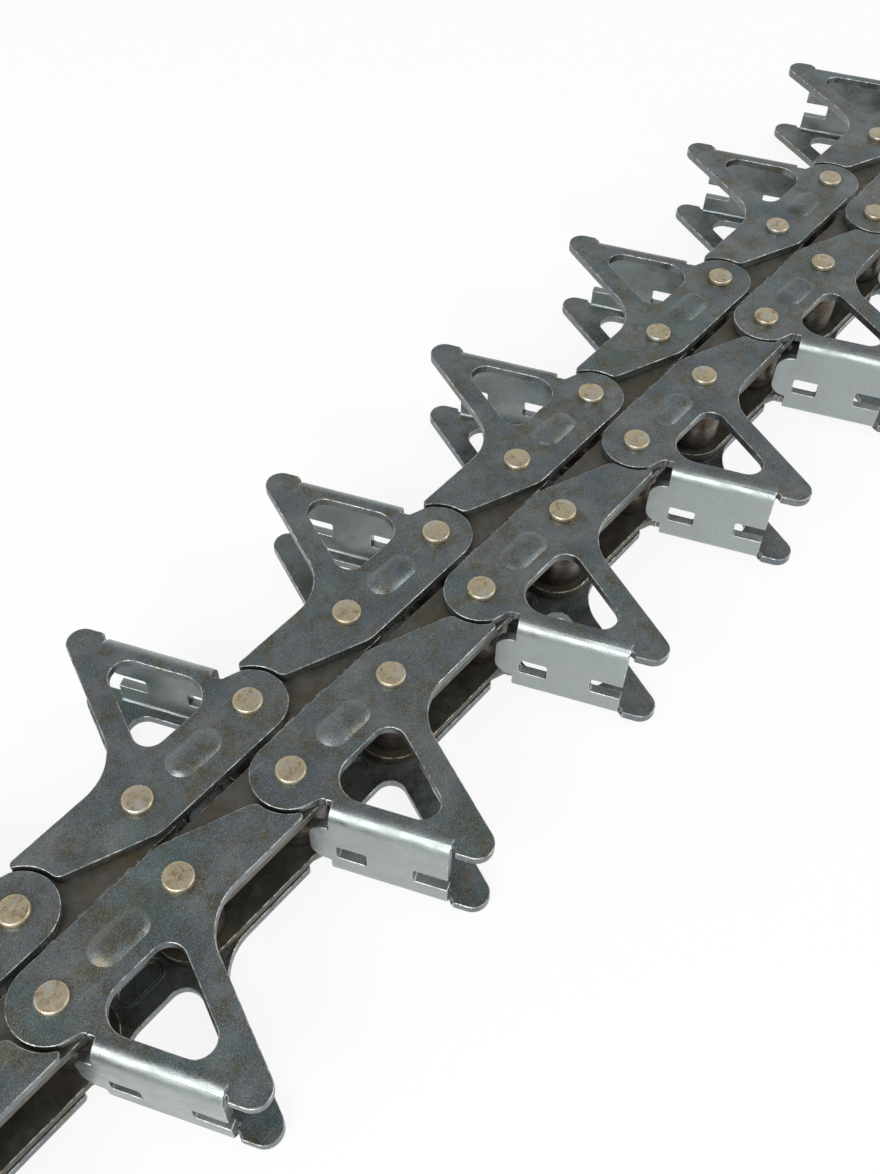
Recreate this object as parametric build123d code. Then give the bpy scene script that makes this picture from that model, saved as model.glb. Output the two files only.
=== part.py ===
"""Gathering and conveying chain with folded lug links, folded double as it lies in a box.

Millimetres, +Z up. The chain lies on its side on its pin ends, so every pin is upright. The origin is on
the surface that it lies on, under the middle of its outline, and +X runs along the two runs.
"""

import os
from math import atan2, cos, degrees, radians, sin, sqrt, tan

from build123d import *

# ---- the chain ----
PITCH = 41.4  # pin centre to pin centre
LUG_LINKS = 15  # folded lug links, joined by one inner link fewer
FOLD_LINK = 7  # the inner link that turns from the first run to the second
RUN_GAP = 1.74  # space between the plate edges of the two runs

# ---- across the chain, along the pins ----
INNER_WIDTH = 20.24  # between the inner plates
PLATE_THICKNESS = 3.1  # lug link sheet
INNER_PLATE_THICKNESS = 3.1
SIDE_CLEARANCE = 0.35  # inner plate to lug link, and roller to inner plate
HEAD_HEIGHT = 1.98  # riveted pin head outside the lug link

# ---- pins, bushes and rollers ----
PIN_DIAMETER = 7.94
HEAD_SPREAD = 0.43  # riveted head beyond the pin, all round
HEAD_CHAMFER = 0.6
BUSH_WALL = 1.75
ROLLER_DIAMETER = 17.78
RUNNING_FIT = 0.08  # radial clearance of pin in bush, and bush in roller

# ---- side plates ----
PLATE_HEIGHT = 23.1

# ---- lug link tail, which props against the next link's round end ----
TAIL_TAPER = 22.0  # degrees, on the side away from the lug
TAIL_GAP = 1.15  # to the next link's round end
TAIL_REACH = 34.2  # past its pin
TAIL_DEPTH = 12.0  # its lug-side edge, below the pin line
TAIL_NOSE_RADIUS = 3.0
TAIL_TOE_RADIUS = 1.4

# ---- lug ----
LUG_HEIGHT = 56.8  # pin line to tip
LUG_TIP_RADIUS = 5.0
LUG_TIP_INSET = 0.4  # tip plate edge behind the web's face
WEB_LEAN = 22.0  # degrees from upright
WEB_OFFSET = 9.6  # round end's pin to the web's outer face
TRAILING_LEAN = 22.7
TRAILING_FILLET = 17.5  # between the trailing edge and the tail

# ---- web, the part of the sheet folded across between the two plates ----
BEND_RADIUS = 4.6  # outside of the bend
WEB_ROOT = 17.8  # along the web from the pin line to the end of the bend
WEB_TIP = 52.2
TONGUE_ROOT = 11.8  # the web's middle reaches further in than its bends
TONGUE_WIDTH = 18.0
TONGUE_RADIUS = 5.4
WEB_HOLE_START = 19.7
WEB_HOLE_LENGTH = 8.8
WEB_SLOT_START = 42.2  # open at the tip end
WEB_CUT_HEIGHT = 6.2  # of the hole and the slot
WEB_CUT_SHIFT = -3.4  # below the middle of the web
WEB_CUT_RADIUS = 0.8  # in their corners
NOTCH_RADIUS = 1.8  # relief cut beside the bend at the root
NOTCH_RISE = 0.7  # from the notch to the end of the bend
NOTCH_LEAN = 19.0  # its upper side, degrees above level
TIP_RELIEF_RADIUS = 1.6  # relief cut beside the bend at the tip

# ---- window in each lug plate ----
WINDOW_TOP = 9.2  # below the pin line
WINDOW_WEB_LAND = 6.9  # web's outer face to the window
WINDOW_TRAILING_LAND = 7.25
WINDOW_BOTTOM = 36.6
WINDOW_RADII = {"root": 8.0, "trailing": 5.0, "bottom": 5.2}

# ---- stiffening boss pressed outwards between the pins ----
BOSS_LENGTH = 18.0
BOSS_WIDTH = 10.0
BOSS_HEIGHT = 1.4
BOSS_SHIFT = 0.4  # from the middle of the link, towards the tail
BOSS_TAPER = 40.0
BOSS_RADIUS = 1.6  # round its top

# ---- worked out ----
plate_radius = PLATE_HEIGHT / 2
inner_plate_in = INNER_WIDTH / 2
inner_plate_out = inner_plate_in + INNER_PLATE_THICKNESS
lug_plate_in = inner_plate_out + SIDE_CLEARANCE
lug_plate_out = lug_plate_in + PLATE_THICKNESS
pin_end = lug_plate_out + HEAD_HEIGHT
head_radius = PIN_DIAMETER / 2 + HEAD_SPREAD
bush_bore = PIN_DIAMETER / 2 + RUNNING_FIT
bush_radius = bush_bore + BUSH_WALL
roller_bore = bush_radius + RUNNING_FIT
run_spacing = PLATE_HEIGHT + RUN_GAP
fold_along = sqrt(PITCH**2 - run_spacing**2)  # how far the fold's inner link reaches along the runs


def leaning(distance, lean):
    """A step away from the pin line, leaning forwards by an angle in degrees."""
    return Vector(sin(radians(lean)) * distance, -cos(radians(lean)) * distance)


web_along = leaning(1, WEB_LEAN)
web_inward = Vector(cos(radians(WEB_LEAN)), sin(radians(WEB_LEAN)))
web_foot = Vector(-WEB_OFFSET / cos(radians(WEB_LEAN)), 0)  # where the web's face meets the pin line


def on_web(inward, along):
    """A point of the link's plan, from its distance behind the web's outer face and along the web."""
    return web_foot + web_inward * inward + web_along * along


def crossing(point, direction, other, other_direction):
    """Where two lines of the plan meet."""
    gap = other - point
    turn = direction.X * other_direction.Y - direction.Y * other_direction.X
    return point + direction * ((gap.X * other_direction.Y - gap.Y * other_direction.X) / turn)


def at_depth(point, direction, depth):
    """Where a line of the plan comes to a depth below the pin line."""
    return crossing(point, direction, Vector(0, -depth), Vector(1, 0))


def between(face, low, high):
    """A plan face made solid between two heights."""
    return Pos(0, 0, low) * extrude(face, high - low)


def disc(radius, place=(0, 0)):
    return Pos(place[0], place[1]) * Circle(radius)


# ---- folded lug link ----
# Its own frame has the round end's pin at the origin, the tail's pin along +X and the lug towards -Y.
leading_start = on_web(LUG_TIP_INSET, 0)
tip_centre = at_depth(on_web(LUG_TIP_INSET + LUG_TIP_RADIUS, 0), web_along, LUG_HEIGHT - LUG_TIP_RADIUS)
trailing_along = Vector(sin(radians(TRAILING_LEAN)), cos(radians(TRAILING_LEAN)))
trailing_outward = Vector(trailing_along.Y, -trailing_along.X)
trailing_start = tip_centre + trailing_outward * LUG_TIP_RADIUS


def lug_outline():
    """The outer edge of one lug plate, before its cut-outs."""
    taper = Vector(cos(radians(TAIL_TAPER)), -sin(radians(TAIL_TAPER)))
    shoulder = Vector(PITCH + plate_radius * tan(radians(TAIL_TAPER / 2)), plate_radius)
    tail_end = Vector(PITCH + TAIL_REACH, 0)
    corners = [
        (Vector(0, plate_radius), 0),
        (shoulder, plate_radius),
        (crossing(shoulder, taper, tail_end, Vector(0, 1)), 0),
        (tail_end - Vector(0, TAIL_DEPTH), TAIL_TOE_RADIUS),
        (at_depth(trailing_start, trailing_along, TAIL_DEPTH), TRAILING_FILLET),
        (crossing(trailing_start, trailing_along, leading_start, web_along), LUG_TIP_RADIUS),
        (at_depth(leading_start, web_along, plate_radius / 3), 0),  # inside the round end
    ]
    edge = FilletPolyline(*[point for point, _ in corners], radius=[radius for _, radius in corners], close=True)
    plate = make_face(edge) + disc(plate_radius)
    plate -= disc(plate_radius + TAIL_GAP, (2 * PITCH, 0))
    nose = plate.vertices().filter_by(lambda v: v.X > PITCH + plate_radius).sort_by(Axis.Y)[-1]
    return fillet(nose, TAIL_NOSE_RADIUS)


def window():
    """The three-cornered opening in a lug plate."""
    web_side = on_web(WINDOW_WEB_LAND, 0)
    trailing_side = trailing_start - trailing_outward * WINDOW_TRAILING_LAND
    bottom = crossing(web_side, web_along, trailing_side, trailing_along)
    # the two long sides narrow to a round end, whose lowest point is at WINDOW_BOTTOM
    half_angle = radians(WEB_LEAN + TRAILING_LEAN) / 2
    rise = -bottom.Y - WINDOW_BOTTOM
    bottom_radius = min(WINDOW_RADII["bottom"], rise * sin(half_angle) / (1 - sin(half_angle)))
    corners = [
        (at_depth(web_side, web_along, WINDOW_TOP), WINDOW_RADII["root"]),
        (at_depth(trailing_side, trailing_along, WINDOW_TOP), WINDOW_RADII["trailing"]),
        (bottom, bottom_radius),
    ]
    return make_face(
        FilletPolyline(*[point for point, _ in corners], radius=[radius for _, radius in corners], close=True)
    )


def bend_relief():
    """What is cut from the flat plates where the bends are, with the notch at the root and the nick at the tip."""
    notch = on_web(BEND_RADIUS - NOTCH_RADIUS, WEB_ROOT - NOTCH_RADIUS - NOTCH_RISE)
    upper_side = Vector(-cos(radians(NOTCH_LEAN)), sin(radians(NOTCH_LEAN)))
    upper_edge = notch + Vector(upper_side.Y, -upper_side.X) * NOTCH_RADIUS
    strip = Polyline(
        upper_edge,
        upper_edge + upper_side * PLATE_HEIGHT,
        on_web(-PLATE_HEIGHT, WEB_ROOT),
        on_web(-PLATE_HEIGHT, WEB_TIP),
        on_web(BEND_RADIUS, WEB_TIP),
        on_web(BEND_RADIUS, WEB_ROOT - NOTCH_RADIUS),
        notch,
        close=True,
    )
    nick = disc(TIP_RELIEF_RADIUS, tuple(on_web(LUG_TIP_INSET, WEB_TIP)))
    return make_face(strip) + disc(NOTCH_RADIUS, tuple(notch)) + nick


def boss_and_recess():
    """The pressed boss on top of the upper plate, and the hollow that the press leaves under it."""
    place = Pos(PITCH / 2 + BOSS_SHIFT, 0)
    draw_in = PLATE_THICKNESS * tan(radians(BOSS_TAPER / 2))
    boss = extrude(SlotOverall(BOSS_LENGTH, BOSS_WIDTH), BOSS_HEIGHT, taper=BOSS_TAPER)
    boss = fillet(boss.faces().sort_by(Axis.Z)[-1].edges(), BOSS_RADIUS)
    recess = extrude(
        SlotOverall(BOSS_LENGTH - 2 * draw_in, BOSS_WIDTH - 2 * draw_in), BOSS_HEIGHT, taper=BOSS_TAPER
    )
    return place * Pos(0, 0, lug_plate_out) * boss, place * Pos(0, 0, lug_plate_in) * recess


def channel():
    """The web and its two bends, as one folded channel with its root tongue, hole and open slot."""
    across = Plane(origin=on_web(0, WEB_ROOT), x_dir=web_inward, z_dir=web_along)
    outer = FilletPolyline(
        (BEND_RADIUS, lug_plate_out), (0, lug_plate_out), (0, -lug_plate_out), (BEND_RADIUS, -lug_plate_out),
        radius=[0, BEND_RADIUS, BEND_RADIUS, 0], close=True,
    )
    inner = FilletPolyline(
        (2 * BEND_RADIUS, lug_plate_in), (PLATE_THICKNESS, lug_plate_in),
        (PLATE_THICKNESS, -lug_plate_in), (2 * BEND_RADIUS, -lug_plate_in),
        radius=[0, BEND_RADIUS - PLATE_THICKNESS, BEND_RADIUS - PLATE_THICKNESS, 0], close=True,
    )
    folded = extrude(across * (make_face(outer) - make_face(inner)), WEB_TIP - WEB_ROOT)

    web = Plane(origin=web_foot, x_dir=web_along, z_dir=-web_inward)
    tongue_length = WEB_ROOT - TONGUE_ROOT
    tongue = Pos(TONGUE_ROOT + tongue_length / 2, 0) * Rectangle(tongue_length, TONGUE_WIDTH)
    # its corners are round, but no rounder than its length allows
    tongue = fillet(tongue.vertices().group_by(Axis.X)[0], min(TONGUE_RADIUS, 0.9 * tongue_length))
    folded += extrude(web * tongue, -PLATE_THICKNESS)

    slot_length = WEB_TIP - WEB_SLOT_START
    hole = Pos(WEB_HOLE_START + WEB_HOLE_LENGTH / 2, WEB_CUT_SHIFT) * Rectangle(WEB_HOLE_LENGTH, WEB_CUT_HEIGHT)
    hole = fillet(hole.vertices(), WEB_CUT_RADIUS)
    slot = Pos(WEB_SLOT_START + slot_length / 2, WEB_CUT_SHIFT) * Rectangle(slot_length, WEB_CUT_HEIGHT)
    slot = fillet(slot.vertices().group_by(Axis.X)[0], WEB_CUT_RADIUS)
    return folded - extrude(web * (hole + slot), -2 * PLATE_THICKNESS, both=True)


def folded_plate():
    """The lug link's one sheet: two plates, each with its window and boss, and the web folded between them."""
    flat = lug_outline() - window() - bend_relief()
    flat -= disc(PIN_DIAMETER / 2) + disc(PIN_DIAMETER / 2, (PITCH, 0))
    boss, recess = boss_and_recess()
    upper = between(flat, lug_plate_in, lug_plate_out) + boss - recess
    return upper + mirror(upper, about=Plane.XY) + channel()


def riveted_pin(along):
    """A pin with a head spread over each plate."""
    half = Polyline(
        (0, 0), (PIN_DIAMETER / 2, 0), (PIN_DIAMETER / 2, lug_plate_out), (head_radius, lug_plate_out),
        (head_radius, pin_end - HEAD_CHAMFER), (head_radius - HEAD_CHAMFER, pin_end), (0, pin_end),
        close=True,
    )
    section = make_face(half)
    section += mirror(section, about=Plane.XZ)
    return Pos(along, 0, 0) * revolve(Plane.XZ * section, Axis.Z)


# ---- inner link ----
# Its own frame has its front bush at the origin and its rear bush along +X.
def inner_link():
    """Two straight plates held apart by the two bushes pressed into them."""
    bushes = [Pos(along, 0, 0) * tube(bush_radius, bush_bore, 2 * inner_plate_out) for along in (0, PITCH)]
    outline = Pos(PITCH / 2, 0) * SlotCenterToCenter(PITCH, PLATE_HEIGHT)
    outline -= disc(bush_radius) + disc(bush_radius, (PITCH, 0))
    plates = [between(outline, low, low + INNER_PLATE_THICKNESS) for low in (inner_plate_in, -inner_plate_out)]
    return plates + bushes


def tube(radius, bore, length):
    """An upright tube about the middle of the chain."""
    return Cylinder(radius, length) - Cylinder(bore, length)


# ---- where each link lies ----
# The layout starts from the pivot at which the first run meets the fold's inner link.
fold_rise = degrees(atan2(run_spacing, -fold_along))


def lug_place(number):
    """A lug link's place: round end's pin, and which way its tail points."""
    if number <= FOLD_LINK:
        return Location((2 * PITCH * (FOLD_LINK - number), 0, 0))
    along = PITCH + 2 * PITCH * (number - FOLD_LINK - 1) - fold_along
    return Location((along, run_spacing, 0), (0, 0, 180))


def inner_place(number):
    """An inner link's place: its front bush is on its own lug link's round end, its rear one on the next's tail."""
    turn = 180 if number < FOLD_LINK else fold_rise if number == FOLD_LINK else 0
    return Location(lug_place(number).position, (0, 0, turn))


def chain():
    """Each node's solids in the layout's frame, by name."""
    nodes = {}
    sheet = folded_plate()
    for number in range(1, LUG_LINKS + 1):
        # the open ends of the chain are two plain pairs of holes, which take the pins that close it
        pins = [riveted_pin(0)] if number < LUG_LINKS else []
        pins += [riveted_pin(PITCH)] if number > 1 else []
        nodes[f"lug_link_{number:02}"] = [lug_place(number) * solid for solid in [sheet, *pins]]
    roller = tube(ROLLER_DIAMETER / 2, roller_bore, INNER_WIDTH - 2 * SIDE_CLEARANCE)
    for number in range(1, LUG_LINKS):
        place = inner_place(number)
        nodes[f"inner_link_{number:02}"] = [place * solid for solid in inner_link()]
        nodes[f"front_roller_{number:02}"] = [place * roller]
        nodes[f"rear_roller_{number:02}"] = [place * Pos(PITCH, 0, 0) * roller]
    return nodes


nodes = chain()
boxes = [Compound(solids).bounding_box() for solids in nodes.values()]
low_x, high_x = min(box.min.X for box in boxes), max(box.max.X for box in boxes)
to_origin = Pos(-(low_x + high_x) / 2, -run_spacing / 2, pin_end)

os.makedirs("parts", exist_ok=True)
for name, solids in nodes.items():
    export_step(Compound([to_origin * solid for solid in solids]), f"parts/{name}.step")
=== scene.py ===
"""Looks of the folded-lug gathering chain: its sheets, pins, plates, bushes and rollers, and the stage.

Metres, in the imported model's frame: +X along the two runs, +Z up along the pins.
"""

import math

import bmesh
import bpy
from bpy.props import FloatProperty, FloatVectorProperty, IntProperty, PointerProperty
from bpy.types import Operator, Panel, PropertyGroup
from mathutils import Matrix, Vector
from mathutils.bvhtree import BVHTree


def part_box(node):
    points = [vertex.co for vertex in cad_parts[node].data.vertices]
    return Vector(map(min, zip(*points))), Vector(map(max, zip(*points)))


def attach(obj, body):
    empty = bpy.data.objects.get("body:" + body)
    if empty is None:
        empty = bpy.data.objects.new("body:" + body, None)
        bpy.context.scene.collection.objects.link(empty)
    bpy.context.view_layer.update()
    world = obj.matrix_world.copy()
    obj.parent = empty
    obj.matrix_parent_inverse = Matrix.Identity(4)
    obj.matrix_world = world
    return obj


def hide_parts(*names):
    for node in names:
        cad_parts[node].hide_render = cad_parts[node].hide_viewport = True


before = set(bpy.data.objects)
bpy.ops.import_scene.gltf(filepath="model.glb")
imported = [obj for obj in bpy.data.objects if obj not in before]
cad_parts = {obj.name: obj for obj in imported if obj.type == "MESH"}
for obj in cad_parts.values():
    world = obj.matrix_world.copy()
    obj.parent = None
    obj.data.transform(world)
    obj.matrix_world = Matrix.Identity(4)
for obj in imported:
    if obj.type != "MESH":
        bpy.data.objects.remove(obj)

bl_info = {
    "name": "Gathering chain finish",
    "version": (1, 0, 0),
    "blender": (4, 5, 0),
    "location": "3D View > Sidebar > Chain",
    "description": "Finishes the links, pins and rollers of a folded-lug gathering chain",
    "category": "Object",
}

PATTERN_LUG = "lug_link_02"  # a link with both its pins, whose tail points along +X
PATTERN_INNER = "inner_link_08"  # an inner link that points along +X
PATTERN_ROLLER = "front_roller_08"

WELD = 1e-6  # corners nearer than this are one corner
TOUCH = 1e-5  # within this of a face is on it
FLAT_ANGLE = math.radians(0.4)  # faces that turn less than this are one face
SHARP_ANGLE = math.radians(40)  # edges that turn more than this get rounded
BOSS_INSET = 0.92  # how far a boss's last ring is from its foot to its spine
BOSS_STEEPNESS = 2.6  # how steeply a boss rises at its foot
BOSS_MARGIN = 0.001  # sheet round a boss whose edges get no worn, painted-bright colour
WEB_SPAN = 0.75  # share of the height between the plate faces that only the web crosses
SHEEN_REACH = 1.4  # how far round its bends the web's painted sheen reaches
LAMP_DEPTH = 0.7  # a lamp's depth over its width
FLOOR_SIZE = 12
FILM_WIDTH = 36  # millimetres
NEAREST_VIEW = 0.005


# ---- places along the chain ----
def node_centre(node):
    """The middle of a CAD node's box."""
    low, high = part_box(node)
    return (low + high) / 2


def numbers(prefix):
    """The numbers of the nodes that share a name, in order."""
    return sorted(int(name[-2:]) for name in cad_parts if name.startswith(prefix))


LUG_NUMBERS = numbers("lug_link_")
INNER_NUMBERS = numbers("inner_link_")
ROUND_PIN = {number: node_centre(f"front_roller_{number:02}") for number in INNER_NUMBERS}
TAIL_PIN = {number + 1: node_centre(f"rear_roller_{number:02}") for number in INNER_NUMBERS}
PITCH = (TAIL_PIN[2] - ROUND_PIN[2]).length
FIRST_OF_SECOND_RUN = min(n for n in LUG_NUMBERS if n in ROUND_PIN and n in TAIL_PIN
                          and TAIL_PIN[n].x < ROUND_PIN[n].x)


def lug_place(number):
    """Where a lug link's round end is, and its turn about the pins."""
    turn = math.pi if number >= FIRST_OF_SECOND_RUN else 0.0
    if number in ROUND_PIN:
        return ROUND_PIN[number], turn
    return TAIL_PIN[number] - Vector((math.cos(turn), math.sin(turn), 0)) * PITCH, turn


def inner_place(number):
    """Where an inner link's front bush is, and its turn about the pins."""
    reach = TAIL_PIN[number + 1] - ROUND_PIN[number]
    return ROUND_PIN[number], math.atan2(reach.y, reach.x)


# ---- sizes and colours that a user may change ----
def colour(name, description, default):
    return FloatVectorProperty(
        name=name, description=description, default=default, subtype="COLOR", size=3, min=0, max=1
    )


def length(name, description, default):
    return FloatProperty(
        name=name, description=description, default=default, unit="LENGTH", min=0, precision=5
    )


class SheetFinish(PropertyGroup):
    """The stamped lug links."""

    edge_round: length("Edge round", "Rounding of the sheared edges", 0.00032)
    cleared_radius: length("Cleared radius", "Just over a pin head's radius", 0.00446)
    head_height: length("Head height", "How far a pin head stands out of its plate", 0.00198)
    web_lean: FloatProperty(
        name="Web lean", description="Lean of the web", default=math.radians(22), unit="ROTATION"
    )
    web_offset: length("Web offset", "Round end's pin to the web's outer face", 0.0096)
    bend_radius: length("Bend radius", "Outside radius of the bends", 0.0046)
    bend_start: length("Bend start", "Along the web from the pin line to its bends", 0.0172)
    bend_end: length("Bend end", "Along the web from the pin line to its tip", 0.0524)
    boss_length: length("Boss length", "Length of the pressed boss", 0.018)
    boss_width: length("Boss width", "Width of the pressed boss", 0.010)
    boss_height: length("Boss height", "Height of the pressed boss", 0.0014)
    boss_shift: length("Boss shift", "Boss from the middle of the link", 0.0004)
    boss_steps: IntProperty(name="Boss steps", description="Rings in the boss", default=9, min=3, max=24)
    blued: colour("Blued steel", "Cold tint of the oiled sheet", (0.125, 0.155, 0.172))
    teal: colour("Teal tint", "Greenish bloom on the bluing", (0.12, 0.185, 0.185))
    speck: colour("Grain", "Bright grain of the sheet", (0.38, 0.42, 0.42))
    pit: colour("Pits", "Dark pits and grain", (0.035, 0.035, 0.035))
    grey: colour("Grey steel", "Where the bluing is thin", (0.205, 0.222, 0.225))
    oil: colour("Oil stain", "Dried oil on the sheet", (0.13, 0.105, 0.048))
    # Painted reflection: this pale colour paints the white surround reflected in the web and the bends.
    web_sheen: colour("Rubbed web", "Web and bends, paler from the press tool", (0.42, 0.465, 0.455))
    worn: colour("Worn spots", "Bright rubbed metal", (0.5, 0.51, 0.5))
    # Worn sheared edge, painted brighter than its wear as a painted highlight along the rounded rims.
    edge: colour("Worn edge", "Bright sheared edge", (0.58, 0.59, 0.57))


class PinFinish(PropertyGroup):
    """The riveted pins."""

    shank_radius: length("Shank radius", "Half the pin's diameter", 0.00397)
    head_radius: length("Head radius", "Half the head's diameter", 0.0044)
    head_height: length("Head height", "How far a head stands out of its plate", 0.00198)
    shoulder_steps: IntProperty(
        name="Shoulder steps", description="Steps in a head's rounding", default=5, min=2
    )
    crown: length("Crown", "Rise of the middle of a head over its shoulder", 0.00012)
    shoulder: length("Shoulder", "Rounding of a head's rim", 0.00075)
    segments: IntProperty(name="Segments", description="Faces round a pin", default=56, min=12, max=128)
    metal: colour("Metal", "Pale riveted steel", (0.56, 0.48, 0.33))
    rust: colour("Stain", "Brown stain in the low places", (0.27, 0.20, 0.11))
    bare: colour("Bare steel", "Colder bare steel", (0.52, 0.53, 0.52))
    spot: colour("Spots", "Dark spots", (0.1, 0.07, 0.04))


class LinkFinish(PropertyGroup):
    """The inner links and the rollers."""

    edge_round: length("Edge round", "Rounding of plate and bush edges", 0.0003)
    bush_radius: length("Bush radius", "Half the bush's diameter", 0.0058)
    bush_bore: length("Bush bore", "Half the bush's bore", 0.00405)
    cleared_radius: length("Cleared radius", "Just over a bush's radius", 0.00585)
    roller_radius: length("Roller radius", "Half the roller's diameter", 0.00889)
    roller_bore: length("Roller bore", "Half the roller's bore", 0.00588)
    segments: IntProperty(name="Segments", description="Faces round a roller", default=64, min=12, max=128)
    roller_round: length("Roller round", "Rounding of a roller's rims", 0.0007)
    plate: colour("Plate", "Dull oiled plate", (0.10, 0.092, 0.072))
    plate_pale: colour("Pale plate", "Where the plate is drier", (0.135, 0.13, 0.11))
    plate_stain: colour("Plate stain", "Old oil on the plate", (0.12, 0.10, 0.06))
    plate_edge: colour("Plate edge", "Rubbed edge of the plate", (0.45, 0.44, 0.40))
    roller: colour("Roller", "Dark oiled roller", (0.08, 0.07, 0.058))
    roller_rubbed: colour("Rubbed roller", "Brighter rings round a roller", (0.17, 0.155, 0.13))
    roller_stain: colour("Roller stain", "Brown stain on a roller", (0.09, 0.06, 0.035))


class StageSizes(PropertyGroup):
    """Floor, lights and camera."""

    camera_place: FloatVectorProperty(
        name="Camera", description="Camera position", default=(-0.2140, -0.1551, 0.3453), unit="LENGTH"
    )
    camera_aim: FloatVectorProperty(
        name="Aim", description="Point on the floor that the camera looks at", default=(-0.0033, 0.0153, 0.0),
        unit="LENGTH",
    )
    camera_roll: FloatProperty(
        name="Roll", description="Camera's turn about its view", default=math.radians(1.27), unit="ROTATION"
    )
    lens: FloatProperty(name="Lens", description="Focal length in millimetres", default=39.74, min=10)
    floor: colour("Floor", "Pale floor", (0.93, 0.93, 0.93))
    floor_glow: FloatProperty(
        name="Floor glow", description="Share of plain white in the floor that is seen", default=0.88, min=0,
        max=1,
    )
    sky: FloatProperty(name="Sky", description="Brightness of the studio above", default=0.4, min=0)
    horizon: FloatProperty(name="Horizon", description="Brightness of the studio around", default=1.0, min=0)
    lamp: FloatProperty(name="Side lamp", description="Power of the side lamp", default=12, unit="POWER")
    lamp_width: length("Side width", "Width of the side lamp", 1.0)
    lamp_place: FloatVectorProperty(
        name="Side place", description="Middle of the side lamp", default=(-1.05, -0.2, 0.8), unit="LENGTH"
    )
    front: FloatProperty(name="Front lamp", description="Power of the front lamp", default=4, unit="POWER")
    front_width: length("Front width", "Width of the front lamp", 0.6)
    front_place: FloatVectorProperty(
        name="Front place", description="Middle of the front lamp", default=(0.7, -0.9, 0.85), unit="LENGTH"
    )


# ---- shader helpers ----
class Shader:
    """A material's node tree, with short ways to add the nodes that the finishes use."""

    def __init__(self, name):
        self.material = bpy.data.materials.new(name)
        self.material.use_nodes = True
        self.tree = self.material.node_tree
        self.surface = self.tree.nodes["Principled BSDF"]
        self.coordinates = self.tree.nodes.new("ShaderNodeTexCoord").outputs["Object"]

    def link(self, source, socket):
        self.tree.links.new(source, socket)

    def stretched(self, scale, turn=(0, 0, 0), source=None):
        """Coordinates that are turned, then scaled along each axis."""
        node = self.tree.nodes.new("ShaderNodeMapping")
        node.inputs["Scale"].default_value = scale
        node.inputs["Rotation"].default_value = turn
        self.link(source or self.coordinates, node.inputs["Vector"])
        return node.outputs["Vector"]

    def noise(self, scale, detail=3.0, roughness=0.55, distortion=0.0, source=None):
        node = self.tree.nodes.new("ShaderNodeTexNoise")
        node.inputs["Scale"].default_value = scale
        node.inputs["Detail"].default_value = detail
        node.inputs["Roughness"].default_value = roughness
        node.inputs["Distortion"].default_value = distortion
        self.link(source or self.coordinates, node.inputs["Vector"])
        return node.outputs["Fac"]

    def cells(self, scale, source=None):
        """Distance to the nearest of scattered points, in cell sizes."""
        node = self.tree.nodes.new("ShaderNodeTexVoronoi")
        node.inputs["Scale"].default_value = scale
        self.link(source or self.coordinates, node.inputs["Vector"])
        return node.outputs["Distance"]

    def between(self, value, low, high, start=0.0, end=1.0):
        """A value brought from one span to another, smoothly and clamped."""
        node = self.tree.nodes.new("ShaderNodeMapRange")
        node.interpolation_type = "SMOOTHSTEP"
        node.inputs["From Min"].default_value = low
        node.inputs["From Max"].default_value = high
        node.inputs["To Min"].default_value = start
        node.inputs["To Max"].default_value = end
        self.link(value, node.inputs["Value"])
        return node.outputs["Result"]

    def math(self, operation, first, second):
        node = self.tree.nodes.new("ShaderNodeMath")
        node.operation = operation
        for socket, value in zip(node.inputs, (first, second)):
            if isinstance(value, (int, float)):
                socket.default_value = value
            else:
                self.link(value, socket)
        return node.outputs["Value"]

    def mix(self, amount, first, second):
        """One colour over another by an amount."""
        node = self.tree.nodes.new("ShaderNodeMix")
        node.data_type = "RGBA"
        self.link(amount, node.inputs["Factor"])
        sockets = [s for s in node.inputs if s.type == "RGBA"]
        for socket, value in zip(sockets, (first, second)):
            if isinstance(value, bpy.types.NodeSocket):
                self.link(value, socket)
            else:
                socket.default_value = (*value, 1)
        return [s for s in node.outputs if s.type == "RGBA"][0]

    def attribute(self, name, output="Fac"):
        node = self.tree.nodes.new("ShaderNodeAttribute")
        node.attribute_name = name
        return node.outputs[output]

    def distance(self, source, point):
        node = self.tree.nodes.new("ShaderNodeVectorMath")
        node.operation = "DISTANCE"
        self.link(source, node.inputs[0])
        node.inputs[1].default_value = point
        return node.outputs["Value"]

    def bumps(self, *layers):
        """Bumps over bumps, from (height, distance) pairs, the broadest first."""
        below = None
        for height, distance in layers:
            node = self.tree.nodes.new("ShaderNodeBump")
            node.inputs["Distance"].default_value = distance
            self.link(height, node.inputs["Height"])
            if below:
                self.link(below, node.inputs["Normal"])
            below = node.outputs["Normal"]
        self.link(below, self.surface.inputs["Normal"])

    def bump(self, height, distance, strength):
        node = self.tree.nodes.new("ShaderNodeBump")
        node.inputs["Strength"].default_value = strength
        node.inputs["Distance"].default_value = distance
        self.link(height, node.inputs["Height"])
        self.link(node.outputs["Normal"], self.surface.inputs["Normal"])


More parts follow.
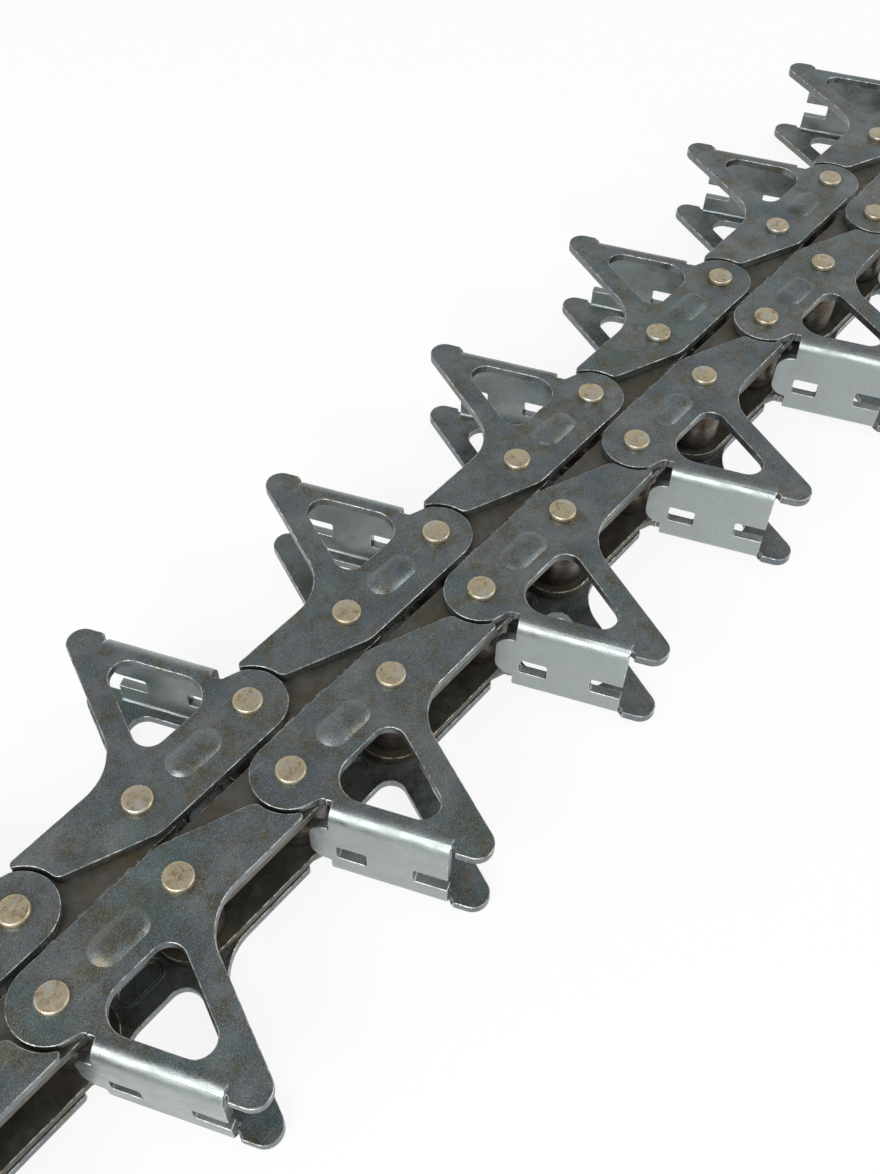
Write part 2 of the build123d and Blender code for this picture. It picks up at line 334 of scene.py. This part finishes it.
# ---- materials ----
def sheet_steel(finish):
    """Blued, oiled sheet: cold and grey patches, oil round the pins and boss, specks, pits, a painted
    reflection on the web and bends, and worn edges painted brighter still as painted highlights.
    """
    shader = Shader("blued_sheet_steel")
    patches = shader.noise(60, 5, 0.55)
    base = shader.mix(shader.between(patches, 0.3, 0.7), finish.blued, finish.grey)
    cold = shader.between(shader.noise(38, 4, 0.55), 0.46, 0.72, 0, 0.6)
    base = shader.mix(cold, base, finish.teal)
    warm = shader.between(shader.noise(34, 6, 0.72), 0.55, 0.68, 0, 0.5)
    base = shader.mix(warm, base, finish.oil)

    # oil creeps out from under the pin heads and lies at the boss's ends and on the tail
    place = shader.attribute("link_place", "Vector")
    ragged = shader.noise(160, 6, 0.72)
    flat_place = shader.stretched((1, 1, 0), source=place)
    boss, half = PITCH / 2 + finish.boss_shift, finish.boss_length / 2
    for x, y, reach, most in (
        (0, 0, 0.0072, 0.8), (PITCH, 0, 0.0078, 0.8),
        (boss - half, 0, 0.006, 0.7), (boss + half, 0, 0.006, 0.75),
        (PITCH * 1.55, -0.003, 0.011, 0.8), (PITCH / 2, -0.0085, 0.008, 0.5),
    ):
        near = shader.between(shader.distance(flat_place, (x, y, 0)), reach * 0.4, reach, most, 0)
        amount = shader.math("MULTIPLY", near, shader.between(ragged, 0.45, 0.68))
        base = shader.mix(amount, base, finish.oil)

    # fine grain, pale specks, dark pits and scratches
    grain = shader.noise(2600, 4, 0.7)
    base = shader.mix(shader.between(grain, 0.5, 0.7, 0, 0.7), base, finish.speck)
    base = shader.mix(shader.between(grain, 0.46, 0.3, 0, 0.7), base, finish.pit)
    specks = shader.between(shader.cells(1300), 0.1, 0.24, 1, 0)
    speckled = shader.between(shader.noise(110, 3), 0.44, 0.6, 0.05, 0.6)
    base = shader.mix(shader.math("MULTIPLY", specks, speckled), base, finish.worn)
    pits = shader.between(shader.cells(560), 0.06, 0.16, 0.85, 0)
    pitted = shader.math("MULTIPLY", pits, shader.between(shader.noise(150, 2), 0.48, 0.6))
    base = shader.mix(pitted, base, finish.pit)
    scratch = shader.noise(1.0, 2, 0.5, 0.0, shader.stretched((70, 4200, 70), (0, 0, 0.5)))
    scratched = shader.between(scratch, 0.69, 0.76, 0, 0.45)
    base = shader.mix(scratched, base, finish.worn)

    # the web and the bends are painted paler as a painted reflection of the white surround; the sheared edges
    # are worn by handling and painted brighter still as a painted highlight
    streaks = shader.noise(1.0, 4, 0.65, 0.0, shader.stretched((420, 420, 160), source=place))
    web_sheen = shader.math("MULTIPLY", shader.attribute("web"), shader.between(streaks, 0.3, 0.72, 0.5, 0.95))
    base = shader.mix(web_sheen, base, finish.web_sheen)
    # teal grain breaks up the painted sheen on the web
    dull = shader.math("MULTIPLY", shader.between(grain, 0.48, 0.3, 0, 0.55), web_sheen)
    base = shader.mix(dull, base, finish.teal)
    # worn edges, brightened further as a painted highlight along the rims
    rim = shader.attribute("rim")
    worn_edge_and_highlight = shader.math("MULTIPLY", rim, shader.between(shader.noise(380, 4, 0.65), 0.42, 0.62, 0.1, 0.9))
    base = shader.mix(worn_edge_and_highlight, base, finish.edge)
    shader.link(base, shader.surface.inputs["Base Color"])

    shader.surface.inputs["Metallic"].default_value = 0.9
    rough = shader.between(shader.noise(120, 5, 0.65), 0.32, 0.68, 0.26, 0.46)
    rough = shader.math("ADD", rough, shader.between(grain, 0.3, 0.7, -0.05, 0.08))
    shader.link(rough, shader.surface.inputs["Roughness"])
    waves = shader.noise(62, 2, 0.4)
    shader.bumps((waves, 0.0016), (shader.math("SUBTRACT", grain, pitted), 0.00005))
    return shader.material


def pin_steel(finish):
    """Pale riveted steel with blotches of brown stain."""
    shader = Shader("riveted_pin_steel")
    blotch = shader.noise(420, 5, 0.65, 0.8)
    base = shader.mix(shader.between(blotch, 0.5, 0.68, 0, 0.8), finish.metal, finish.rust)
    cold = shader.between(shader.noise(240, 3), 0.5, 0.62, 0, 0.6)
    base = shader.mix(cold, base, finish.bare)
    spots = shader.between(shader.cells(900), 0.08, 0.2, 0.8, 0)
    base = shader.mix(spots, base, finish.spot)
    shader.link(base, shader.surface.inputs["Base Color"])
    shader.surface.inputs["Metallic"].default_value = 0.9
    shader.link(shader.between(shader.noise(600, 3), 0.3, 0.7, 0.28, 0.5), shader.surface.inputs["Roughness"])
    shader.bump(shader.noise(1500, 4, 0.6), 0.00006, 0.7)
    return shader.material


def plate_steel(finish):
    """Dull plate under a film of old oil."""
    shader = Shader("oiled_plate_steel")
    patches = shader.noise(110, 5, 0.65, 0.8)
    base = shader.mix(shader.between(patches, 0.36, 0.64), finish.plate, finish.plate_pale)
    base = shader.mix(shader.between(shader.noise(60, 4), 0.52, 0.68, 0, 0.7), base, finish.plate_stain)
    rim = shader.math("MULTIPLY", shader.attribute("rim"), shader.between(shader.noise(500, 3), 0.4, 0.6))
    base = shader.mix(rim, base, finish.plate_edge)
    shader.link(base, shader.surface.inputs["Base Color"])
    shader.surface.inputs["Metallic"].default_value = 0.8
    shader.link(shader.between(shader.noise(300, 4), 0.3, 0.7, 0.38, 0.6), shader.surface.inputs["Roughness"])
    shader.bump(shader.noise(1400, 4, 0.65), 0.00005, 0.7)
    return shader.material


def roller_steel(finish):
    """Dark oiled steel, rubbed brighter in rings round the roller."""
    shader = Shader("dark_roller_steel")
    rings = shader.noise(1.0, 3, 0.6, 0.0, shader.stretched((40, 40, 900)))
    base = shader.mix(shader.between(rings, 0.35, 0.7), finish.roller, finish.roller_rubbed)
    stain = shader.between(shader.noise(120, 4, 0.6), 0.5, 0.65, 0, 0.8)
    base = shader.mix(stain, base, finish.roller_stain)
    shader.link(base, shader.surface.inputs["Base Color"])
    shader.surface.inputs["Metallic"].default_value = 0.85
    shader.link(shader.between(shader.noise(350, 3), 0.3, 0.7, 0.3, 0.5), shader.surface.inputs["Roughness"])
    shader.bump(shader.noise(1300, 3, 0.6), 0.00004, 0.6)
    return shader.material


# ---- meshes that the chain repeats ----
def pattern(name, node, place, holes=(), hole_radius=0.0, reshape=None):
    """A clean copy of a CAD node in its link's own frame, without the round pieces that fill its holes."""
    mesh = bmesh.new()
    mesh.from_mesh(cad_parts[node].data)
    bmesh.ops.remove_doubles(mesh, verts=mesh.verts, dist=WELD)
    bmesh.ops.translate(mesh, verts=mesh.verts, vec=-place)
    for along in holes:
        clear_hole(mesh, along, hole_radius)
    if reshape:
        reshape(mesh)
    bmesh.ops.recalc_face_normals(mesh, faces=mesh.faces)
    bmesh.ops.dissolve_limit(mesh, angle_limit=FLAT_ANGLE, verts=mesh.verts, edges=mesh.edges)
    return settle(name, mesh)


def clear_hole(mesh, along, radius):
    """Takes out all that is within a radius of an upright axis, and gives each plate its hole's wall back."""
    def near(vertex):
        return math.hypot(vertex.co.x - along, vertex.co.y) < radius

    filling = [face for face in mesh.faces if all(near(vertex) for vertex in face.verts)]
    bmesh.ops.delete(mesh, geom=filling, context="FACES")
    for side in (1, -1):
        rims = [edge for edge in mesh.edges
                if edge.is_boundary and all(near(vertex) and vertex.co.z * side > 0 for vertex in edge.verts)]
        bmesh.ops.bridge_loops(mesh, edges=rims)


def as_object(name, data):
    thing = bpy.data.objects.new(name, data)
    bpy.context.scene.collection.objects.link(thing)
    return thing


def settle(name, mesh):
    """An object from an edited mesh."""
    data = bpy.data.meshes.new(name)
    mesh.to_mesh(data)
    mesh.free()
    return as_object(name, data)


def soften(thing, width):
    """Rounds a pattern's sharp edges, evens its normals and marks the rounded faces as its rim."""
    data = thing.data
    data.materials.append(None)
    data.materials.append(None)
    sharp = BVHTree.FromObject(thing, bpy.context.evaluated_depsgraph_get())
    bevel = thing.modifiers.new("Edge", "BEVEL")
    bevel.width = width
    bevel.segments = 2
    bevel.use_clamp_overlap = False
    bevel.limit_method = "ANGLE"
    bevel.angle_limit = SHARP_ANGLE
    bevel.material = 1
    bevel.miter_outer = "MITER_ARC"
    smooth = thing.modifiers.new("Normals", "WEIGHTED_NORMAL")
    smooth.weight = 80
    smooth.keep_sharp = True
    data.shade_smooth()
    baked = bpy.data.meshes.new_from_object(thing.evaluated_get(bpy.context.evaluated_depsgraph_get()))
    thing.modifiers.clear()
    thing.data = baked
    for vertex in baked.vertices:
        nearest, _, _, gap = sharp.find_nearest(vertex.co)
        if gap > width / 2:  # a corner that the rounding threw out of the sheet
            vertex.co = nearest
    rim = baked.attributes.new("rim", "FLOAT", "FACE")
    for face in baked.polygons:
        rim.data[face.index].value = float(face.material_index == 1)
        face.material_index = 0
    baked.materials.clear()


def near_boss(place, finish, margin):
    """Whether a place is over or under a boss, or within a margin of its sides."""
    along = abs(place.x - PITCH / 2 - finish.boss_shift)
    return along < finish.boss_length / 2 + margin and abs(place.y) < finish.boss_width / 2 + margin


def raise_boss(mesh, finish, plate_face, side):
    """Replaces one plate's flat-topped boss by a hump, steep at its foot and rounded on top."""
    centre = PITCH / 2 + finish.boss_shift

    def on_boss(vertex):
        return near_boss(vertex.co, finish, TOUCH)

    def standing(vertex):
        return vertex.co.z * side > plate_face + TOUCH

    old = [face for face in mesh.faces
           if all(on_boss(v) for v in face.verts) and any(standing(v) for v in face.verts)]
    bmesh.ops.delete(mesh, geom=old, context="FACES")
    foot = [edge for edge in mesh.edges if edge.is_boundary and all(on_boss(v) for v in edge.verts)]
    spine = (finish.boss_length - finish.boss_width) / 2
    ring = {vertex: vertex for edge in foot for vertex in edge.verts}
    for edge in foot:
        edge.smooth = False
    for step in range(1, finish.boss_steps + 1):
        inward = BOSS_INSET * step / finish.boss_steps
        rise = finish.boss_height * (1 - (1 - inward) ** BOSS_STEEPNESS)
        after = {}
        for vertex in ring:
            nearest = Vector((min(max(vertex.co.x, centre - spine), centre + spine), 0, vertex.co.z))
            place = vertex.co.lerp(nearest, inward)
            place.z = side * (plate_face + rise)
            after[vertex] = mesh.verts.new(place)
        for edge in foot:
            one, two = edge.verts
            mesh.faces.new((ring[one], ring[two], after[two], after[one]))
        ring = after
    tops = [mesh.edges.get((ring[edge.verts[0]], ring[edge.verts[1]])) for edge in foot]
    bmesh.ops.edgeloop_fill(mesh, edges=tops)


def sheet_pattern(finish):
    """One folded sheet in its link's frame, with its place and its web's painted sheen marked for the finish.
    """
    low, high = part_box(PATTERN_LUG)
    plate_face = (high.z - low.z) / 2 - finish.head_height

    def bosses(mesh):
        for side in (1, -1):
            raise_boss(mesh, finish, plate_face, side)

    sheet = pattern("sheet_pattern", PATTERN_LUG, ROUND_PIN[2], (0, PITCH), finish.cleared_radius, bosses)
    soften(sheet, finish.edge_round)
    data = sheet.data
    rim = data.attributes["rim"]
    for face in data.polygons:
        if near_boss(face.center, finish, BOSS_MARGIN):
            rim.data[face.index].value = 0.0
    place = data.attributes.new("link_place", "FLOAT_VECTOR", "POINT")
    web = data.attributes.new("web", "FLOAT", "POINT")
    lean = finish.web_lean
    for vertex in data.vertices:
        x, y, z = vertex.co
        place.data[vertex.index].vector = vertex.co
        inward = x * math.cos(lean) + y * math.sin(lean) + finish.web_offset
        along = (x + finish.web_offset / math.cos(lean)) * math.sin(lean) - y * math.cos(lean)
        # painted sheen: full on the web, fading round the bends towards the plates
        if finish.bend_start < along < finish.bend_end or abs(z) < plate_face * WEB_SPAN:
            web_sheen = SHEEN_REACH * (1 - inward / finish.bend_radius)
            web.data[vertex.index].value = max(0.0, min(1.0, web_sheen))
    return sheet


def lathe(name, profile, segments):
    """A turned piece: a closed shape from its (radius, height) points, whose ends are on the axis."""
    mesh = bmesh.new()
    rings = []
    for radius, height in profile:
        if radius == 0:
            rings.append([mesh.verts.new((0, 0, height))])
            continue
        angles = [2 * math.pi * step / segments for step in range(segments)]
        rings.append([mesh.verts.new((radius * math.cos(a), radius * math.sin(a), height)) for a in angles])
    for lower, upper in zip(rings, rings[1:]):
        for step in range(segments):
            after = (step + 1) % segments
            corners = [lower[step % len(lower)], lower[after % len(lower)],
                       upper[after % len(upper)], upper[step % len(upper)]]
            mesh.faces.new(list(dict.fromkeys(corners)))
    bmesh.ops.recalc_face_normals(mesh, faces=mesh.faces)
    turned = settle(name, mesh)
    turned.data.shade_smooth()
    return turned


def pin_pattern(finish):
    """A pin whose shank fills the plates' holes, with a soft, slightly crowned head on each end."""
    low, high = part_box(PATTERN_LUG)
    top = (high.z - low.z) / 2
    base = top - finish.head_height
    edge, soft = finish.head_radius, finish.shoulder
    upper = [(finish.shank_radius, base), (edge - soft / 6, base), (edge, base + soft / 4)]
    for step in range(finish.shoulder_steps + 1):
        angle = math.pi / 2 * step / finish.shoulder_steps
        upper.append((edge - soft * (1 - math.cos(angle)), top - finish.crown - soft * (1 - math.sin(angle))))
    upper += [(edge * 0.45, top - finish.crown / 4), (0, top)]
    lower = [(radius, -height) for radius, height in reversed(upper)]
    return lathe("pin_pattern", lower + upper, finish.segments)


def inner_patterns(finish):
    """An inner link's two plates, and one of its bushes, in the link's frame."""
    place = ROUND_PIN[int(PATTERN_INNER[-2:])]
    plates = pattern("plates_pattern", PATTERN_INNER, place, (0, PITCH), finish.cleared_radius)
    soften(plates, finish.edge_round)
    low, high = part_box(PATTERN_INNER)
    end = (high.z - low.z) / 2
    bush = tube("bush_pattern", finish.bush_radius, finish.bush_bore, end, finish.edge_round, finish.segments)
    return plates, bush


def tube(name, radius, bore, end, soft, segments):
    """A turned tube with softened rims."""
    mesh = bmesh.new()
    outline = [(radius, -end + soft), (radius, end - soft), (radius - soft * 0.3, end - soft * 0.3),
               (radius - soft, end), (bore + soft, end), (bore + soft * 0.3, end - soft * 0.3),
               (bore, end - soft), (bore, -end + soft), (bore + soft * 0.3, -end + soft * 0.3),
               (bore + soft, -end), (radius - soft, -end), (radius - soft * 0.3, -end + soft * 0.3)]
    angles = [2 * math.pi * step / segments for step in range(segments)]
    rings = [[mesh.verts.new((r * math.cos(a), r * math.sin(a), z)) for a in angles] for r, z in outline]
    for ring, after in zip(rings, rings[1:] + rings[:1]):
        for step in range(segments):
            other = (step + 1) % segments
            mesh.faces.new((ring[step], ring[other], after[other], after[step]))
    bmesh.ops.recalc_face_normals(mesh, faces=mesh.faces)
    turned = settle(name, mesh)
    turned.data.shade_smooth()
    return turned


# ---- setting patterns along the chain ----
def row_tree():
    """Sets a part in a straight row: its start, its step, how many, and their turn about the pins."""
    if "row_of_parts" in bpy.data.node_groups:
        return bpy.data.node_groups["row_of_parts"]
    tree = bpy.data.node_groups.new("row_of_parts", "GeometryNodeTree")
    for name, kind in (
        ("Part", "NodeSocketObject"), ("Start", "NodeSocketVector"), ("Step", "NodeSocketVector"),
        ("Count", "NodeSocketInt"), ("Turn", "NodeSocketFloat"), ("Finish", "NodeSocketMaterial"),
    ):
        tree.interface.new_socket(name, in_out="INPUT", socket_type=kind)
    tree.interface.new_socket("Geometry", in_out="OUTPUT", socket_type="NodeSocketGeometry")
    nodes, links = tree.nodes, tree.links
    given = nodes.new("NodeGroupInput")
    row = nodes.new("GeometryNodeMeshLine")
    part = nodes.new("GeometryNodeObjectInfo")
    turn = nodes.new("ShaderNodeCombineXYZ")
    place = nodes.new("GeometryNodeInstanceOnPoints")
    real = nodes.new("GeometryNodeRealizeInstances")
    finish = nodes.new("GeometryNodeSetMaterial")
    out = nodes.new("NodeGroupOutput")
    links.new(given.outputs["Count"], row.inputs["Count"])
    links.new(given.outputs["Start"], row.inputs["Start Location"])
    links.new(given.outputs["Step"], row.inputs["Offset"])
    links.new(given.outputs["Part"], part.inputs["Object"])
    part.inputs["As Instance"].default_value = True
    links.new(given.outputs["Turn"], turn.inputs["Z"])
    links.new(row.outputs["Mesh"], place.inputs["Points"])
    links.new(part.outputs["Geometry"], place.inputs["Instance"])
    links.new(turn.outputs["Vector"], place.inputs["Rotation"])
    links.new(place.outputs["Instances"], real.inputs["Geometry"])
    links.new(real.outputs["Geometry"], finish.inputs["Geometry"])
    links.new(given.outputs["Finish"], finish.inputs["Material"])
    links.new(finish.outputs["Geometry"], out.inputs["Geometry"])
    return tree


def set_row(name, part, start, turn, material, step=Vector((0, 0, 0)), count=1):
    """A plain mesh of a row of one part, made by the row tree."""
    carrier = as_object(name, bpy.data.meshes.new(name + "_points"))
    modifier = carrier.modifiers.new("Row", "NODES")
    tree = row_tree()
    modifier.node_group = tree
    values = {"Part": part, "Start": start, "Step": step, "Count": count, "Turn": turn, "Finish": material}
    for item in tree.interface.items_tree:
        if item.in_out == "INPUT":
            modifier[item.identifier] = values[item.name]
    evaluated = carrier.evaluated_get(bpy.context.evaluated_depsgraph_get())
    result = bpy.data.meshes.new_from_object(evaluated)
    result.name = name
    carrier.modifiers.clear()
    carrier.data = result
    return carrier


def hand_over(piece, body):
    """Lets a piece move with its body and stand for its node, which has the same name."""
    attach(piece, body)
    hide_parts(body)


# ---- operators ----
class CHAIN_OT_folded_sheets(Operator):
    """Folded sheets of the lug links"""

    bl_idname = "chain.folded_sheets"
    bl_label = "Folded sheets"

    def execute(self, context):
        finish = context.scene.chain_sheets
        material = sheet_steel(finish)
        sheet = sheet_pattern(finish)
        for number in LUG_NUMBERS:
            start, turn = lug_place(number)
            piece = set_row(f"folded_sheet_{number:02}", sheet, start, turn, material)
            hand_over(piece, f"lug_link_{number:02}")
        bpy.data.objects.remove(sheet)
        return {"FINISHED"}


class CHAIN_OT_riveted_pins(Operator):
    """Riveted pins, which turn with the lug links"""

    bl_idname = "chain.riveted_pins"
    bl_label = "Riveted pins"

    def execute(self, context):
        finish = context.scene.chain_pins
        material = pin_steel(finish)
        pin = pin_pattern(finish)
        for number in LUG_NUMBERS:
            places = [place[number] for place in (ROUND_PIN, TAIL_PIN) if number in place]
            step = places[-1] - places[0]
            _, turn = lug_place(number)
            name = f"riveted_pins_{number:02}"
            piece = set_row(name, pin, places[0], turn, material, step, len(places))
            hand_over(piece, f"lug_link_{number:02}")
        bpy.data.objects.remove(pin)
        return {"FINISHED"}


class CHAIN_OT_inner_links(Operator):
    """Plates and bushes of the inner links"""

    bl_idname = "chain.inner_links"
    bl_label = "Inner links"

    def execute(self, context):
        finish = context.scene.chain_links
        material = plate_steel(finish)
        plates, bush = inner_patterns(finish)
        for number in INNER_NUMBERS:
            start, turn = inner_place(number)
            body = f"inner_link_{number:02}"
            pair = set_row(f"inner_plates_{number:02}", plates, start, turn, material)
            hand_over(pair, body)
            step = TAIL_PIN[number + 1] - start
            bushes = set_row(f"bushes_{number:02}", bush, start, turn, material, step, 2)
            hand_over(bushes, body)
        bpy.data.objects.remove(plates)
        bpy.data.objects.remove(bush)
        return {"FINISHED"}


class CHAIN_OT_rollers(Operator):
    """Rollers on the bushes"""

    bl_idname = "chain.rollers"
    bl_label = "Rollers"

    def execute(self, context):
        finish = context.scene.chain_links
        material = roller_steel(finish)
        low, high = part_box(PATTERN_ROLLER)
        roller = tube("roller_pattern", finish.roller_radius, finish.roller_bore, (high.z - low.z) / 2,
                      finish.roller_round, finish.segments)
        for word, places in (("front_roller", ROUND_PIN), ("rear_roller", TAIL_PIN)):
            for number in INNER_NUMBERS:
                place = places[number if word == "front_roller" else number + 1]
                node = f"{word}_{number:02}"
                piece = set_row(f"turned_{node}", roller, place, 0.0, material)
                hand_over(piece, node)
        bpy.data.objects.remove(roller)
        return {"FINISHED"}


class CHAIN_OT_stage(Operator):
    """Pale floor, soft studio light and the camera"""

    bl_idname = "chain.stage"
    bl_label = "Stage"

    def execute(self, context):
        sizes = context.scene.chain_stage
        make_floor(sizes)
        make_studio(sizes)
        make_camera(sizes)
        context.scene.view_settings.view_transform = "Standard"
        return {"FINISHED"}


def make_floor(sizes):
    bpy.ops.mesh.primitive_plane_add(size=FLOOR_SIZE)
    floor = bpy.context.active_object
    floor.name = "floor"
    material = bpy.data.materials.new("pale_floor")
    material.use_nodes = True
    surface = material.node_tree.nodes["Principled BSDF"]
    surface.inputs["Base Color"].default_value = (*sizes.floor, 1)
    surface.inputs["Roughness"].default_value = 0.8
    nodes, links = material.node_tree.nodes, material.node_tree.links
    glow = nodes.new("ShaderNodeEmission")
    path = nodes.new("ShaderNodeLightPath")
    seen = nodes.new("ShaderNodeMath")
    seen.operation = "MULTIPLY"
    seen.inputs[1].default_value = sizes.floor_glow
    direct = nodes.new("ShaderNodeMath")
    direct.operation = "MAXIMUM"
    both = nodes.new("ShaderNodeMixShader")
    links.new(path.outputs["Is Camera Ray"], direct.inputs[0])
    links.new(path.outputs["Is Glossy Ray"], direct.inputs[1])
    links.new(direct.outputs["Value"], seen.inputs[0])
    links.new(seen.outputs["Value"], both.inputs["Fac"])
    links.new(surface.outputs["BSDF"], both.inputs[1])
    links.new(glow.outputs["Emission"], both.inputs[2])
    links.new(both.outputs["Shader"], nodes["Material Output"].inputs["Surface"])
    floor.data.materials.append(material)


def make_studio(sizes):
    """A bright surround under a calmer top, plain white to the camera, and two soft lamps."""
    world = bpy.data.worlds.new("studio")
    bpy.context.scene.world = world
    world.use_nodes = True
    nodes, links = world.node_tree.nodes, world.node_tree.links
    background = nodes["Background"]
    coordinates = nodes.new("ShaderNodeTexCoord")
    split = nodes.new("ShaderNodeSeparateXYZ")
    rise = nodes.new("ShaderNodeMapRange")
    rise.inputs["From Min"].default_value = 0.05
    rise.inputs["From Max"].default_value = 0.9
    rise.inputs["To Min"].default_value = sizes.horizon
    rise.inputs["To Max"].default_value = sizes.sky
    path = nodes.new("ShaderNodeLightPath")
    seen = nodes.new("ShaderNodeMix")
    seen.inputs["B"].default_value = 1.0
    links.new(coordinates.outputs["Generated"], split.inputs["Vector"])
    links.new(split.outputs["Z"], rise.inputs["Value"])
    links.new(path.outputs["Is Camera Ray"], seen.inputs["Factor"])
    links.new(rise.outputs["Result"], seen.inputs["A"])
    links.new(seen.outputs["Result"], background.inputs["Strength"])
    background.inputs["Color"].default_value = (1, 1, 1, 1)
    hang_lamp("side_lamp", sizes.lamp_place, sizes.lamp_width, sizes.lamp)
    hang_lamp("front_lamp", sizes.front_place, sizes.front_width, sizes.front)


def hang_lamp(name, place, width, power):
    """A soft rectangular lamp that faces the chain's middle."""
    lamp = bpy.data.lights.new(name, "AREA")
    lamp.shape = "RECTANGLE"
    lamp.size, lamp.size_y = width, width * LAMP_DEPTH
    lamp.energy = power
    hung = bpy.data.objects.new(name, lamp)
    bpy.context.scene.collection.objects.link(hung)
    hung.location = place
    hung.rotation_euler = (-hung.location).to_track_quat("-Z", "Y").to_euler()


def make_camera(sizes):
    camera = bpy.data.cameras.new("camera")
    camera.lens = sizes.lens
    camera.sensor_width = FILM_WIDTH
    camera.clip_start = NEAREST_VIEW
    holder = bpy.data.objects.new("camera", camera)
    bpy.context.scene.collection.objects.link(holder)
    place, aim = Vector(sizes.camera_place), Vector(sizes.camera_aim)
    looking = (aim - place).to_track_quat("-Z", "Y").to_matrix()
    rolled = looking @ Matrix.Rotation(sizes.camera_roll, 3, "Z")
    holder.matrix_world = Matrix.Translation(place) @ rolled.to_4x4()
    bpy.context.scene.camera = holder


class CHAIN_PT_finish(Panel):
    """Lists the chain's finishes and the steps that make them."""

    bl_label = "Gathering chain"
    bl_space_type = "VIEW_3D"
    bl_region_type = "UI"
    bl_category = "Chain"

    def draw(self, context):
        for step in STEPS:
            self.layout.operator(step.bl_idname)
        for group in GROUPS:
            settings = getattr(context.scene, group)
            for name in settings.bl_rna.properties.keys():
                if name not in ("rna_type", "name"):
                    self.layout.prop(settings, name)


STEPS = (
    CHAIN_OT_folded_sheets, CHAIN_OT_riveted_pins, CHAIN_OT_inner_links, CHAIN_OT_rollers, CHAIN_OT_stage,
)
GROUPS = {
    "chain_sheets": SheetFinish,
    "chain_pins": PinFinish,
    "chain_links": LinkFinish,
    "chain_stage": StageSizes,
}


def register():
    for kind in (*GROUPS.values(), *STEPS, CHAIN_PT_finish):
        bpy.utils.register_class(kind)
    for name, kind in GROUPS.items():
        setattr(bpy.types.Scene, name, PointerProperty(type=kind))


def unregister():
    for name in GROUPS:
        delattr(bpy.types.Scene, name)
    for kind in (CHAIN_PT_finish, *STEPS, *GROUPS.values()):
        bpy.utils.unregister_class(kind)


def main():
    """Runs every step."""
    register()
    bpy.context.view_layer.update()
    bpy.ops.chain.folded_sheets()
    bpy.ops.chain.riveted_pins()
    bpy.ops.chain.inner_links()
    bpy.ops.chain.rollers()
    bpy.ops.chain.stage()


if __name__ == "__main__":
    main()
